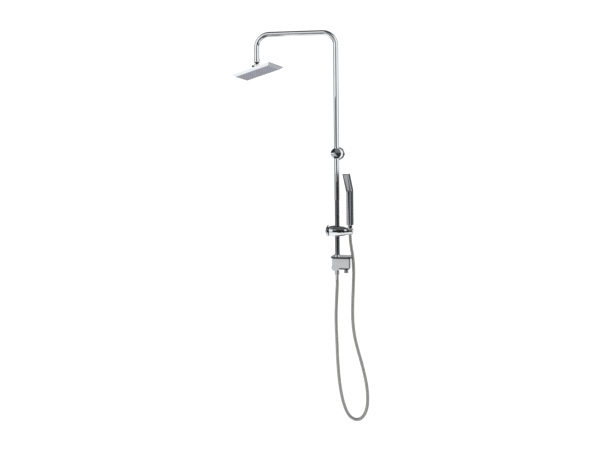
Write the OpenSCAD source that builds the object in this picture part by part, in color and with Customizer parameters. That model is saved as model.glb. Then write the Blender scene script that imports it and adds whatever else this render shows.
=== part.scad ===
// Rainfall shower column: a diverter body on the wall inlet carries a telescopic riser, a swivelling
// arm with a tilting rain head, and a slider that holds a stick handset on a metal hose.
// Origin: the wall inlet's axis where it meets the wall. +X right, -Y into the room, +Z up.

/* [Riser] */
// Distance from the wall to the riser's axis
riser_off = 50; // [46:1:60]
// Outer diameter of the fixed lower tube
lower_od = 20; // [17:0.5:24]
// Wall of the lower tube
lower_wall = 1.2; // [1:0.1:1.6]
// Wall of the sliding upper tube
upper_wall = 1; // [0.8:0.1:1.5]
// Height of the upper tube's bottom end
seam_z = 266; // [240:1:300]
// Length of lower tube hidden in the upper tube
overlap = 310; // [290:1:360]
// Height of the arm's centreline
arm_z = 975; // [850:1:1200]
// Radius of the two bends, at the centreline
bend_r = 55; // [45:1:70]
// Reach of the arm, from the riser's axis to the drop's axis
arm_reach = 340; // [280:1:420]
// Length of the straight drop below the second bend
drop_len = 63; // [40:1:90]
// Angle of the arm in front of the wall plane
arm_swing = 6; // [0:1:160]

/* [Rain head] */
// Length of the head's top outline
head_l = 205; // [160:1:260]
// Width of the head's top outline
head_w = 100; // [80:1:130]
// Width of the bevel all round the head
bevel_w = 10; // [6:0.5:12]
// Height of the bevel
bevel_h = 8.5; // [7:0.5:12]
// Radius of the ball that the head hangs on
ball_r = 9; // [8:0.5:11]
// Nozzles along the head
nozzles_l = 14; // [8:1:18]
// Nozzles across the head
nozzles_w = 5; // [3:1:7]
// Tilt of the head from level
head_tilt = 13.5; // [0:0.5:18]
// Direction in plan towards which the head's upper side leans
head_lean = 125; // [0:1:359]
// Turn of the head's long side in plan
head_yaw = -22; // [-180:1:180]

/* [Diverter] */
// Left side of the body, from the riser's axis
body_left = 20; // [19:1:30]
// Right side of the body, from the riser's axis
body_right = 57.5; // [52:0.5:58]
// Front of the body, from the riser's axis
body_fore = 20; // [18:1:36]
// Height of the body above the inlet's axis
body_up = 19; // [17:0.5:26]
// Depth of the body below the inlet's axis
body_down = 20; // [18:0.5:24]
// Depth of the plinth under the body
plinth_h = 6.5; // [5:0.5:8]
// Wall of the chrome cover
cover_wall = 2; // [1.5:0.1:2.5]
// Thickness of the top plate's straight edge
plate_edge = 5; // [3:0.5:8]
// Height of the bevel under the top plate's edge
plate_bevel = 4; // [2:0.5:6]
// Distance from the riser's axis to the diverter knob's axis
knob_x = 37; // [34:0.5:40]
// Diameter of the diverter knob
knob_d = 18.6; // [16:0.2:24]
// Diameter of the wall inlet's thread
inlet_d = 20.96; // [18:0.02:24]
// Length of the wall inlet's thread
inlet_len = 14; // [10:1:20]

/* [Wall bracket] */
// Height of the wall bracket's axis
bracket_z = 462; // [430:1:640]
// Diameter of the bracket's barrel
bracket_d = 46; // [42:1:54]
// Diameter of the bracket's wall flange
flange_d = 55; // [50:1:70]
// Distance from the bracket's axis to each wall screw hole
wall_hole_x = 14; // [13:0.5:14.5]
// Diameter of each wall screw hole
wall_hole_d = 4.6; // [4:0.1:5]

/* [Slider and cradle] */
// Height of the slider's axis
slider_z = 134; // [115:1:150]
// Largest radius of the slider's barrel
barrel_r = 24; // [20:0.5:26]
// Diameter of the clamping knob
clamp_d = 53; // [44:1:60]
// Height of the clamping knob's dome
clamp_dome = 11; // [6:0.5:14]
// Distance from the riser's axis to the handset's axis
cradle_x = 55; // [54:0.5:60]
// Radius of the cradle's nose
nose_r = 13.4; // [13.4:0.1:16]

/* [Handset] */
// Width of the handset's section
hand_side = 25; // [22:0.5:32]
// Depth of the handset from the spray face to its back
hand_depth = 25; // [22:0.5:30]
// Radius of the section's corners
hand_corner = 4; // [2:0.5:6]
// Wall of the handset's shell
hand_wall = 2; // [1.5:0.1:2.5]
// Height of the handset's lower end
hand_z0 = 161; // [158:1:166]
// Length of the handle below the bend
hand_len = 145; // [110:1:175]
// Height of the spray end above the bend
spray_len = 71; // [60:1:88]
// Lean of the spray end
hand_bend = 26; // [5:1:30]
// Turn of the handset's front in plan
hand_yaw = -13.5; // [-180:0.5:180]

/* [Hose] */
// Outer diameter of the metal hose
hose_d = 13.5; // [12:0.5:14]

/* [Hidden] */
$fn = 48;
eps = 0.01;
run = 0.1;
clear = 0.3;
sep = 0.05;
lower_r = lower_od / 2;
lower_in = lower_r - lower_wall;
upper_in = lower_r + run;
upper_r = upper_in + upper_wall;
lower_top = seam_z + overlap;
drop_z = arm_z - bend_r - drop_len;
arm_dir = 180 + arm_swing;
drop_x = arm_reach * cos(arm_dir);
drop_y = arm_reach * sin(arm_dir) - riser_off;

// Seal carrier in the lower tube's top end
carrier_h = 24;
carrier_shank = 16;
carrier_bore = 6;
ring_minor = 1.2;
ring_major = lower_r - ring_minor + 0.05;

// Diverter body
cover_back = 3;
cover_corner = 6;
plate_over_x = 6;
plate_over_right = 0;
plate_over_y = 3;
sheet_t = 1.2;
plate_top = body_up + plate_bevel + plate_edge;
body_front = riser_off + body_fore;
core_gap = 2;
core_x0 = -body_left + cover_wall + core_gap;
core_x1 = body_right - cover_wall - 0.5;
core_y0 = -body_front + cover_wall + core_gap;
core_y1 = -14;
core_z0 = -body_down + cover_wall + core_gap;
core_z1 = body_up - cover_wall - 1;
back_y = -5;
back_t = 3;
screw_inset = 3.5;
core_screw_r = 1.5;
outlet_x = -2;
boss_x = -8;
boss_r = 15;
boss_z = -body_down + 2;
outlet_rise = 7;
boss_back = -30;
boss_wall = 2.5;
channel_r = 4;
channel_in = 16;
nipple_bore = 6;
shoulder_r = 14;
washer_t = 2;
neck_cut = 1.1;
socket_depth = 12;
riser_low = core_z1 - socket_depth;
collar_h = 8;
collar_r = lower_r + 2.3;
collar_foot = 1.2;

// Outlet union and hose end
outlet_low = boss_z - boss_r;
union_r = 8.2;
union_bore = 4.5;
union_len = 11;
nut_r = 9.5;
nut_top = outlet_low - 0.5;
union_end = outlet_low - 1 - union_len;
nut_h = nut_top - union_end + 6;
hose_r = hose_d / 2;
tail_r = 6.2;
tail_bore = 4;
ferrule_r = 7;
hose_start = -70;

// Diverter cartridge and knob
cart_r = 11;
cart_top = 6;
cart_floor = core_z0;
spindle_r = 3;
disc_r = 8.6;
disc_z = -3;
disc_t = 3;
knob_top = -body_down - plinth_h - 0.5;
knob_neck_h = 4;
knob_h = 15;
plinth_x0 = 8;
plinth_x1 = 50;
plinth_y0 = -body_front + 6;
plinth_y1 = -riser_off + 28;

// Wall bracket
bracket_front = riser_off + upper_r + 5;
cap_t = 2.5;
cap_edge = 1;
cap_dome = 2.6;
bush_r = upper_r + 1.4;
bush_h = 36;
flange_t = 8;
seat_t = 4;
spigot_r = 8;
spigot_len = 14;
cavity_depth = 21;
cavity_r = bracket_d / 2 - 4;
boss_wall_r = 11;
grub_r = 2.5;

// Slider
barrel_x0 = -33;
barrel_x1 = 21;
barrel_mid = -5;
barrel_curve = 112;
slide_r = lower_r + 1.3;
slide_h = 38;
stud_r = 4;
pad_t = 2.6;
clamp_gap = 1.2;
clamp_back = 2.2;
clamp_rim = 3;
clamp_x = barrel_x0 - clamp_gap;
axle_r = 5;
axle_x0 = slide_r + 1.2;
axle_x1 = 33;
friction_t = 0.9;
cradle_x0 = 22;
cradle_x1 = cradle_x + 14.5;
nose_end = 6;
cradle_top_r = barrel_r - 3.2;
screw_r = 2.5;
head_r = 4.5;
web_t = 2.5;

// Handset end of the hose
cone_low = slider_z - 15;
cone_high = slider_z + 14;
cone_top = hand_z0 - 0.5;
cone_r0 = 7.6;
cone_r1 = 10;
liner_t = 1;
liner_r = cone_r1 + clear + liner_t;
inlet_r = 6.95;
seat_z = cone_low + 11;
hose_end = cone_low - 1;
bend_z = hand_z0 + hand_len;
hand_top = bend_z + spray_len;
spray_w = hand_side - 7;
spray_z0 = 8;
spray_z1 = (spray_len - 3) / cos(hand_bend);
plug_h = 6;

// Rain head, measured along its own axis from the ball's centre
ball_drop = 17;
ball_z = drop_z - ball_drop;
stem_r = 5;
rim_t = 1.5;
skin = 2;
head_top = -ball_r - 12.5;
head_mid = head_top - rim_t;
head_low = head_mid - bevel_h;
face_l = head_l - 2 * bevel_w;
face_w = head_w - 2 * bevel_w;
face_t = 2;
ledge = 2;
ball_play = 0.1;
washer_r = ball_r + 1.6;
seat_r = ball_r + 3;
seat_top = -1;
seat_low = head_top + 1.5;
nut_in = washer_r + 0.2;
nut_out = seat_r + 3.5;
nut_lip = ball_r - 2;
nozzle_r = 1.7;
nozzle_out = 1.5;
mat_t = 1.2;
post_r = 3.5;
tip_r = 1.25;

// Route of the hose in the riser's plane, [x, z], from the outlet's ferrule to the handset's nut
HOSE = [
    [-2, -70], [-2, -95], [-4, -130], [-6, -170], [-8, -215], [-8, -260], [-6.5, -305], [-5, -350],
    [-3.5, -395], [-1, -440], [2.5, -485], [8, -530], [16, -572], [27, -609], [41, -637], [59, -653],
    [79, -657], [98, -648], [112, -628], [120.5, -602], [123.5, -572], [122.5, -535], [117, -495],
    [108.5, -455], [98.5, -415], [87, -375], [76.5, -335], [68.5, -295], [64, -250], [63, -205],
    [64, -160], [66, -115], [68, -70], [69, -30], [68, 0], [65.5, 28], [61.5, 55], [57.5, 82],
    [55.5, 104], [55, 118]];
hose_sides = 10;

// ---- shared shapes ----

// Tube standing on the plane z = 0
module ring(outer, inner, height) {
    difference() {
        cylinder(r = outer, h = height);
        translate([0, 0, -1]) cylinder(r = inner, h = height + 2);
    }
}

// Turns a piece made along +Z so that it runs along +X
module along_x() { rotate([0, 90, 0]) children(); }

// Turns a piece made along +Z so that it runs into the room, along -Y
module into_room() { rotate([90, 0, 0]) children(); }

module at_riser(z = 0) { translate([0, -riser_off, z]) children(); }

// Rectangle from corner to corner with round corners
module round_rect(low, high, corner) {
    translate([low[0] + corner, low[1]]) square([high[0] - low[0] - 2 * corner, high[1] - low[1]]);
    translate([low[0], low[1] + corner]) square([high[0] - low[0], high[1] - low[1] - 2 * corner]);
    for (x = [low[0] + corner, high[0] - corner], y = [low[1] + corner, high[1] - corner])
        translate([x, y]) circle(r = corner);
}

// Block with four upright round edges
module slab(low, high, z0, z1, corner) {
    translate([0, 0, z0]) linear_extrude(z1 - z0) round_rect(low, high, corner);
}

// Solid through a list of rings of points, all with the same number of sides
module loft(points, sides) {
    last = len(points) - sides;
    polyhedron(points = points, convexity = 6, faces = concat(
        [[for (k = [sides - 1:-1:0]) k]],
        [for (a = [0:sides:last - 1], k = [0:sides - 1]) let (b = (k + 1) % sides)
            [a + k, a + b, a + b + sides, a + k + sides]],
        [[for (k = [0:sides - 1]) last + k]]));
}

// Block whose four sides slope from a large rectangle at z1 to a small one at z0
module tapered(l1, w1, l0, w0, z0, z1) {
    intersection() {
        rotate([90, 0, 0]) linear_extrude(w1 + l1, center = true)
            polygon([[-l0 / 2, z0], [l0 / 2, z0], [l1 / 2, z1], [-l1 / 2, z1]]);
        rotate([90, 0, 90]) linear_extrude(w1 + l1, center = true)
            polygon([[-w0 / 2, z0], [w0 / 2, z0], [w1 / 2, z1], [-w1 / 2, z1]]);
    }
}

// Half outline of a shallow dome that stands on the first axis
module dome_half(radius, height) {
    curve = (radius * radius + height * height) / (2 * height);
    intersection() {
        square([radius, height + 1]);
        translate([0, height - curve]) circle(r = curve, $fn = 180);
    }
}

// ---- diverter ----

// Everything in front of the plane that the cover's back edge lies in
module before_back() { translate([-200, -cover_back - 400, -200]) cube([400, 400, 400]); }

module cover_form(inset) {
    slab([inset - body_left, inset - body_front], [body_right - inset, cover_corner],
        -body_down + inset, body_up - inset, cover_corner - inset);
    translate([boss_x, boss_back - inset, boss_z]) into_room()
        cylinder(r = boss_r - inset, h = body_front + boss_back - 2 - 2 * inset);
}

module diverter_cover() color("gainsboro") intersection() {
    before_back();
    difference() {
        cover_form(0);
        cover_form(cover_wall);
        at_riser() cylinder(r = upper_in, h = body_up + 1);
        translate([outlet_x, -riser_off, -body_down - 20]) cylinder(r = union_r + clear, h = 26);
        translate([knob_x, -riser_off, -body_down - 1]) cylinder(r = cart_r, h = cover_wall + 2);
    }
}

// Outline of the top plate, square at the back once it is cut there
module plate_slab(over_left, over_right, over_front, z0, z1, corner) {
    slab([-body_left - over_left, -body_front - over_front], [body_right + over_right, corner],
        z0, z1, corner);
}

// The part of the plate's outline between two heights that is cut for the riser and the wall
module plate_part(z0, z1) {
    intersection() {
        before_back();
        difference() {
            union() {
                plate_slab(plate_over_x, plate_over_right, plate_over_y, max(z0, body_up + plate_bevel), z1,
                    cover_corner + 2);
                if (z0 < body_up + plate_bevel) hull() {
                    plate_slab(plate_over_x, plate_over_right, plate_over_y, body_up + plate_bevel - eps,
                        body_up + plate_bevel, cover_corner + 2, $fn = 32);
                    plate_slab(0, 0, 0, z0, z0 + eps, cover_corner, $fn = 32);
                }
            }
            at_riser() cylinder(r = upper_in, h = plate_top + 1);
        }
    }
}

module top_plate() color("silver") plate_part(plate_top - sheet_t, plate_top);

module plate_tray() color("black") plate_part(body_up, plate_top - sheet_t);

module knob_plinth() color("black") difference() {
    slab([plinth_x0, plinth_y0], [plinth_x1, plinth_y1], -body_down - plinth_h, -body_down, 3);
    translate([knob_x, -riser_off, -body_down - plinth_h - 1])
        cylinder(r = spindle_r + clear, h = plinth_h + 2);
}

// Bores of the core: the way in, the two ways out and the cartridge's seat
module core_bores() {
    at_riser(riser_low) cylinder(r = lower_r, h = socket_depth + 1);
    at_riser(riser_low - 6) cylinder(r = lower_in, h = 7);
    translate([0, core_y1 + 1, 0]) into_room() cylinder(r = nipple_bore + 2.3, h = 11);
    translate([0, core_y1, 0]) into_room() cylinder(r = 5, h = channel_in);
    translate([0, core_y1 - channel_in, 0]) along_x() cylinder(r = channel_r, h = knob_x);
    translate([knob_x, core_y1 - channel_in, 0]) into_room()
        cylinder(r = channel_r, h = riser_off + core_y1 - channel_in - cart_r + 3);
    at_riser(riser_low - 2) along_x() cylinder(r = channel_r - 1, h = knob_x);
    translate([outlet_x, -riser_off, boss_z + outlet_rise]) along_x()
        cylinder(r = channel_r - 1, h = knob_x);
    translate([outlet_x, -riser_off, boss_z - boss_r]) cylinder(r = 6.5, h = boss_r + outlet_rise);
    translate([knob_x, -riser_off, core_z0 - 1]) cylinder(r = cart_r, h = cart_top - core_z0 + 1);
}

// Repeats a piece at the four screws that hold the back plate to the core
module at_core_screws() {
    for (x = [core_x0 + screw_inset, core_x1 - screw_inset],
        z = [core_z0 + screw_inset, core_z1 - screw_inset]) translate([x, 0, z]) children();
}

module diverter_core() color("goldenrod") difference() {
    union() {
        slab([core_x0, core_y0], [core_x1, core_y1], core_z0, core_z1, 3);
        translate([boss_x, boss_back - 4, boss_z]) into_room()
            cylinder(r = boss_r - boss_wall, h = body_front + boss_back - 10);
    }
    core_bores();
    at_core_screws() translate([0, core_y1 + 1, 0]) into_room() cylinder(r = core_screw_r, h = 9);
}

module back_plate() color("lightsteelblue") difference() {
    translate([-body_left + cover_wall + sep, back_y - back_t, -body_down + cover_wall + sep])
        cube([body_left + body_right - 2 * (cover_wall + sep), back_t,
            body_up + body_down - 2 * (cover_wall + sep)]);
    translate([0, back_y + 1, 0]) into_room() cylinder(r = nipple_bore + 2.5, h = back_t + 2);
    at_core_screws() translate([0, back_y + 1, 0]) into_room()
        cylinder(r = core_screw_r + 0.2, h = back_t + 2);
}

module back_screws() color("slategray") at_core_screws() translate([0, back_y, 0]) {
    into_room() cylinder(r = core_screw_r - 0.02, h = 15);
    translate([0, 1.6, 0]) into_room() difference() {
        cylinder(r = 2.8, h = 1.6);
        translate([0, 0, -1]) cylinder(r = 1.2, h = 2, $fn = 6);
    }
}

module inlet_nipple() color("goldenrod") difference() {
    union() {
        translate([0, inlet_len, 0]) into_room() cylinder(d = inlet_d, h = inlet_len);
        translate([0, eps, 0]) into_room() cylinder(r = inlet_d / 2 - neck_cut, h = washer_t + 2 * eps);
        translate([0, -washer_t, 0]) into_room() cylinder(r = shoulder_r, h = -back_y - washer_t);
        translate([0, back_y + eps, 0]) into_room()
            cylinder(r = nipple_bore + 2.25, h = back_y - core_y1 + 9);
    }
    translate([0, inlet_len + 1, 0]) into_room() cylinder(r = nipple_bore, h = inlet_len + 30);
}

module inlet_washer() color("dimgray")
    into_room() ring(shoulder_r, inlet_d / 2 - neck_cut + sep, washer_t - sep);

module inlet_filter() color("lightgray") translate([0, inlet_len - 1, 0]) into_room() difference() {
    cylinder(r = nipple_bore - sep, h = 1.5);
    for (a = [0:60:300]) rotate([0, 0, a]) translate([3.4, 0, -1]) cylinder(r = 1.2, h = 4);
    translate([0, 0, -1]) cylinder(r = 1.2, h = 4);
}

module diverter_cartridge() color("white") translate([knob_x, -riser_off, 0]) difference() {
    translate([0, 0, cart_floor]) cylinder(r = cart_r - sep, h = cart_top - cart_floor - sep);
    translate([0, 0, disc_z - run]) cylinder(r = disc_r + 0.4, h = disc_t + 2 * run);
    translate([0, 0, cart_floor - 1]) cylinder(r = spindle_r + run, h = disc_z - cart_floor + 1);
    for (z = [riser_low - 2, boss_z + outlet_rise])
        translate([-cart_r - 1, 0, z]) along_x() cylinder(r = 2.5, h = 6);
}

module diverter_spindle() color("silver") translate([knob_x, -riser_off, 0]) union() {
    translate([0, 0, knob_top - knob_h + 5]) cylinder(r = spindle_r, h = disc_z - knob_top + knob_h - 5);
    translate([0, 0, knob_top - knob_h + 5]) cylinder(r = 2, h = disc_z - knob_top + knob_h - 4);
}

module ceramic_disc() color("ivory") translate([knob_x, -riser_off, disc_z]) difference() {
    cylinder(r = disc_r, h = disc_t);
    translate([0, 0, -1]) cylinder(r = 2, h = 2.01);
    translate([5, 0, -1]) cylinder(r = 2, h = disc_t + 2);
}

module diverter_knob() color("lightgray") translate([knob_x, -riser_off, knob_top - knob_h])
difference() {
    rotate_extrude() polygon([[0, 0], [knob_d / 2 - 1.5, 0], [knob_d / 2, 1.5],
        [knob_d / 2 - 1, knob_h - knob_neck_h - 1], [knob_d / 2 - 2, knob_h - knob_neck_h],
        [knob_d / 2 - 2, knob_h], [0, knob_h]]);
    translate([0, 0, 5]) cylinder(r = spindle_r, h = knob_h);
    for (a = [0:30:330]) rotate([0, 0, a])
        translate([knob_d / 2 + 0.9, 0, -1]) cylinder(r = 1.5, h = knob_h - 3);
}

// ---- riser ----

module riser_collar() color("silver") at_riser(plate_top) difference() {
    rotate_extrude() polygon([[0, 0], [collar_r + collar_foot, 0], [collar_r + collar_foot, 2.5],
        [collar_r, 5], [collar_r, collar_h - 1], [collar_r - 1, collar_h], [0, collar_h]]);
    translate([0, 0, -1]) cylinder(r = upper_in, h = collar_h + 2);
    translate([0, 0, -1]) cylinder(r = lower_r + 1.4, h = 4);
}

module riser_seal() color("dimgray") at_riser(plate_top + 0.2) ring(lower_r + 1.3, lower_r + sep, 2.5);

module lower_riser_tube() color("gainsboro") at_riser(riser_low)
    ring(lower_r - 0.01, lower_in, lower_top - riser_low);

module seal_carrier() color("goldenrod") at_riser(lower_top) difference() {
    union() {
        translate([0, 0, -carrier_shank]) cylinder(r = lower_in - 0.02, h = carrier_shank + 1);
        cylinder(r = lower_r - 0.05, h = carrier_h);
    }
    translate([0, 0, -carrier_shank - 1]) cylinder(r = carrier_bore, h = carrier_shank + carrier_h + 2);
    for (z = [7, 17]) translate([0, 0, z - 1.4]) ring(lower_r + 1, ring_major - ring_minor - 0.1, 2.8);
}

module carrier_orings() color("black") at_riser(lower_top)
    for (z = [7, 17]) translate([0, 0, z])
        rotate_extrude() translate([ring_major, 0]) circle(r = ring_minor);

// Solid rod along the riser, the arm and the drop, in the arm's own direction
module riser_rod(radius, spare) {
    translate([0, 0, seam_z - spare]) cylinder(r = radius, h = arm_z - bend_r - seam_z + spare);
    translate([bend_r, 0, arm_z - bend_r]) rotate([90, 0, 0])
        rotate_extrude(angle = 90, start = 90) translate([bend_r, 0]) circle(r = radius);
    translate([bend_r, 0, arm_z]) along_x() cylinder(r = radius, h = arm_reach - 2 * bend_r);
    translate([arm_reach - bend_r, 0, arm_z - bend_r]) rotate([90, 0, 0])
        rotate_extrude(angle = 90, start = 0) translate([bend_r, 0]) circle(r = radius);
    translate([arm_reach, 0, drop_z - spare]) cylinder(r = radius, h = drop_len + spare);
}

module upper_riser_tube() color("gainsboro") at_riser() rotate([0, 0, arm_dir]) difference() {
    riser_rod(upper_r, 0);
    riser_rod(upper_in, 1);
}

module drop_collar() color("silver") translate([drop_x, drop_y, drop_z + 4])
    difference() {
        ring(upper_r + 1.7, upper_r + 0.02, 10);
        translate([upper_r - 1, 0, 5]) along_x() cylinder(r = 1.5, h = 4);
    }

// ---- wall bracket ----

module bracket_plate() color("lightsteelblue") translate([0, 0, bracket_z]) into_room() difference() {
    union() {
        cylinder(r = cavity_r - 0.2, h = seat_t);
        cylinder(r = spigot_r, h = seat_t + spigot_len);
    }
    for (x = [-wall_hole_x, wall_hole_x]) translate([x, 0, -1]) cylinder(d = wall_hole_d, h = seat_t + 2);
    translate([0, 0, -1]) cylinder(r = spigot_r - 3, h = seat_t + spigot_len - 2);
}

module bracket_body() color("gainsboro") translate([0, 0, bracket_z]) difference() {
    translate([0, -1, 0]) into_room() cylinder(d = bracket_d, h = bracket_front - cap_t - 1);
    into_room() ring(cavity_r, boss_wall_r, cavity_depth);
    into_room() cylinder(r = boss_wall_r + 1, h = seat_t + 0.5);
    into_room() cylinder(r = spigot_r + 0.05, h = seat_t + spigot_len + 0.5);
    at_riser(-bracket_d) cylinder(r = bush_r + run, h = 2 * bracket_d);
    translate([0, -seat_t - 8, -bracket_d / 2 - 1])
        cylinder(r = grub_r + 0.02, h = bracket_d / 2 - spigot_r + 2);
}

module bracket_flange() color("silver") translate([0, 0, bracket_z]) into_room() difference() {
    union() {
        cylinder(d = flange_d, h = flange_t - 2);
        translate([0, 0, flange_t - 2 - eps]) cylinder(d1 = flange_d, d2 = flange_d - 4, h = 2 + eps);
    }
    translate([0, 0, -1]) cylinder(d = bracket_d + 0.1, h = flange_t + 2);
}

module bracket_cap() color("silver") translate([0, -bracket_front + cap_t, bracket_z]) into_room()
    rotate_extrude() union() {
        polygon([[0, 0], [bracket_d / 2, 0], [bracket_d / 2, cap_t - cap_edge],
            [bracket_d / 2 - cap_edge, cap_t], [0, cap_t]]);
        translate([0, cap_t - eps]) dome_half(bracket_d / 2 - cap_edge, cap_dome);
    }

module bracket_grub_screw() color("slategray")
    translate([0, -seat_t - 8, bracket_z - spigot_r - 8]) difference() {
        cylinder(r = grub_r, h = 7.9);
        translate([0, 0, -1]) cylinder(r = 1.3, h = 4, $fn = 6);
    }

module bracket_bush() color("whitesmoke") at_riser(bracket_z - bush_h / 2) difference() {
    ring(bush_r, upper_r + run, bush_h);
    translate([-0.75, 0, -1]) cube([1.5, bush_r + 1, bush_h + 2]);
}

// ---- rain head ----

module at_ball() { translate([drop_x, drop_y, ball_z]) children(); }

// Places a piece of the head by its lean and its turn
module in_head() {
    at_ball() rotate(a = head_tilt, v = [cos(head_lean + 90), sin(head_lean + 90), 0])
        rotate([0, 0, head_yaw]) children();
}

module ball_stem() color("gainsboro") at_ball() difference() {
    union() {
        sphere(r = ball_r, $fn = 96);
        cylinder(r = stem_r, h = ball_drop);
        translate([0, 0, ball_drop - 4]) cylinder(r = upper_r, h = 4 - sep);
        translate([0, 0, ball_drop - 1]) cylinder(r = upper_in - 0.02, h = 16);
    }
    translate([0, 0, -ball_r - 1]) cylinder(r = 3.5, h = ball_r + ball_drop + 20);
}

module swivel_washer() color("whitesmoke") in_head() intersection() {
    difference() {
        sphere(r = washer_r, $fn = 96);
        sphere(r = ball_r + ball_play, $fn = 96);
    }
    translate([0, 0, 0.31 * ball_r]) cylinder(r = washer_r + 1, h = 0.26 * ball_r);
}

module ball_seat() color("whitesmoke") in_head() difference() {
    translate([0, 0, seat_low]) cylinder(r = seat_r, h = seat_top - seat_low);
    sphere(r = ball_r + ball_play, $fn = 96);
    translate([0, 0, seat_low - 1]) cylinder(r = 5, h = ball_r);
}

module retaining_nut() color("silver") in_head() difference() {
    rotate_extrude() polygon([[0, head_top + 9.7], [nut_out, head_top + 9.7], [nut_out, nut_lip - 4],
        [nut_in + 1.2, nut_lip], [0, nut_lip]]);
    translate([0, 0, head_top]) cylinder(r = seat_r + 1.3, h = -head_top + seat_top + 0.3);
    sphere(r = nut_in, $fn = 96);
    translate([0, 0, nut_in * cos(57)])
        cylinder(r1 = nut_in * sin(57), r2 = nut_in * sin(57) + 6 * tan(57), h = 6);
    for (a = [0:45:315]) rotate([0, 0, a]) translate([nut_out + 1, 0, head_top]) cylinder(r = 1.6, h = 40);
}

// Places of the screws that hold the nozzle plate
screw_spots = [for (x = [-1, 1], y = [-1, 1]) [x * (face_l / 2 - 8.5), y * (face_w / 2 - 8.5)]];

module head_shell() color("gainsboro") in_head() difference() {
    union() {
        translate([-head_l / 2, -head_w / 2, head_mid]) cube([head_l, head_w, rim_t]);
        tapered(head_l, head_w, face_l, face_w, head_low, head_mid);
        rotate_extrude() polygon([[0, head_top - eps], [seat_r + 10, head_top - eps],
            [seat_r + 5, head_top + 4], [seat_r + 3.4, head_top + 9.5], [seat_r + 1.2, head_top + 9.5],
            [seat_r + 1.2, seat_top - 4], [0, seat_top - 4]]);
    }
    difference() {
        tapered(head_l - 2 * skin, head_w - 2 * skin, face_l - 2 * ledge, face_w - 2 * ledge,
            head_low - eps, head_mid - 0.5);
        for (p = screw_spots) translate([p[0], p[1], head_low + face_t + mat_t + 0.5])
            cylinder(r = post_r, h = bevel_h);
    }
    for (p = screw_spots) translate([p[0], p[1], head_low - 1]) cylinder(r = tip_r, h = bevel_h);
    translate([0, 0, seat_low]) cylinder(r = seat_r + run, h = 40);
    translate([0, 0, head_mid - 2]) cylinder(r = ball_r, h = 20);
}

// Centres of the nozzles, as even rows over the face
module over_nozzles(count_l, count_w, pitch_l, pitch_w) {
    for (i = [0:count_l - 1], j = [0:count_w - 1])
        translate([(i - (count_l - 1) / 2) * pitch_l, (j - (count_w - 1) / 2) * pitch_w, 0]) children();
}

pitch_l = (face_l - 34) / (nozzles_l - 1);
pitch_w = (face_w - 28) / (nozzles_w - 1);
plate_l = face_l - 2 * ledge - 2 * sep;
plate_w = face_w - 2 * ledge - 2 * sep;

module nozzle_plate() color("lightslategray") in_head() difference() {
    translate([-plate_l / 2, -plate_w / 2, head_low]) cube([plate_l, plate_w, face_t]);
    over_nozzles(nozzles_l, nozzles_w, pitch_l, pitch_w)
        translate([0, 0, head_low - 1]) cylinder(r = nozzle_r + run, h = face_t + 2, $fn = 24);
    for (p = screw_spots) translate([p[0], p[1], head_low - 1]) cylinder(r = tip_r + 0.2, h = face_t + 2);
    for (p = screw_spots) translate([p[0], p[1], head_low - 1]) cylinder(r = 2.6, h = 2);
}

module nozzle_mat() color("darkgray") in_head() difference() {
    union() {
        translate([-plate_l / 2 + 1, -plate_w / 2 + 1, head_low + face_t + sep])
            cube([plate_l - 2, plate_w - 2, mat_t]);
        over_nozzles(nozzles_l, nozzles_w, pitch_l, pitch_w)
            translate([0, 0, head_low - nozzle_out])
                cylinder(r1 = nozzle_r - 0.5, r2 = nozzle_r, h = face_t + nozzle_out + 0.5, $fn = 24);
    }
    for (p = screw_spots) translate([p[0], p[1], head_low]) cylinder(r = post_r + clear, h = 10);
}

module head_gasket() color("dimgray") in_head() difference() {
    translate([-plate_l / 2 + 1, -plate_w / 2 + 1, head_low + face_t + mat_t + 2 * sep])
        cube([plate_l - 2, plate_w - 2, bevel_h - face_t - mat_t - 0.5 - 4 * sep]);
    translate([-plate_l / 2 + 4, -plate_w / 2 + 4, head_low]) cube([plate_l - 8, plate_w - 8, bevel_h + 2]);
    for (p = screw_spots) translate([p[0], p[1], head_low]) cylinder(r = post_r + clear, h = bevel_h);
}

module head_screws() color("slategray") in_head() for (p = screw_spots) translate([p[0], p[1], head_low])
    difference() {
        union() {
            cylinder(r = 2.5, h = 1);
            cylinder(r = tip_r - 0.02, h = bevel_h - 2);
        }
        translate([0, 0, -1]) cylinder(r = 0.9, h = 1.7, $fn = 6);
    }

// ---- slider and cradle ----

module at_slider() { at_riser(slider_z) children(); }

// Solid of revolution about the slider's axis, bounded by an arc whose crest is at crest_x
module arc_barrel(x0, x1, crest_x, crest_r, curve) {
    along_x() rotate_extrude() intersection() {
        translate([0, x0]) square([crest_r + 1, x1 - x0]);
        translate([crest_r - curve, crest_x]) circle(r = curve, $fn = 180);
    }
}

module slider_body() color("silver") at_slider() difference() {
    arc_barrel(barrel_x0, barrel_x1, barrel_mid, barrel_r, barrel_curve);
    translate([0, 0, -barrel_r - 1]) cylinder(r = slide_r + sep, h = 2 * barrel_r + 2);
    translate([barrel_x0 - 1, 0, 0]) along_x() cylinder(r = stud_r + sep, h = 30);
    translate([axle_x0 - 0.5, 0, 0]) along_x() cylinder(r = axle_r + 0.02, h = 20);
}

module slider_bush() color("whitesmoke") at_slider() translate([0, 0, -slide_h / 2]) difference() {
    ring(slide_r, lower_r + run, slide_h);
    translate([-0.75, 0, -1]) cube([1.5, slide_r + 1, slide_h + 2]);
}

module clamp_pad() color("dimgray") at_slider() intersection() {
    translate([-slide_r - sep - pad_t, 0, 0]) along_x() cylinder(r = stud_r - 0.1, h = pad_t + 4);
    difference() {
        translate([-30, -10, -10]) cube([30, 20, 20]);
        translate([0, 0, -11]) cylinder(r = slide_r + sep, h = 22);
    }
}

module knob_stud() color("slategray") at_slider() translate([clamp_x - 5, 0, 0]) along_x()
    cylinder(r = stud_r - sep, h = -clamp_x + 5 - slide_r - 2 * sep - pad_t - 0.5);

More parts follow.
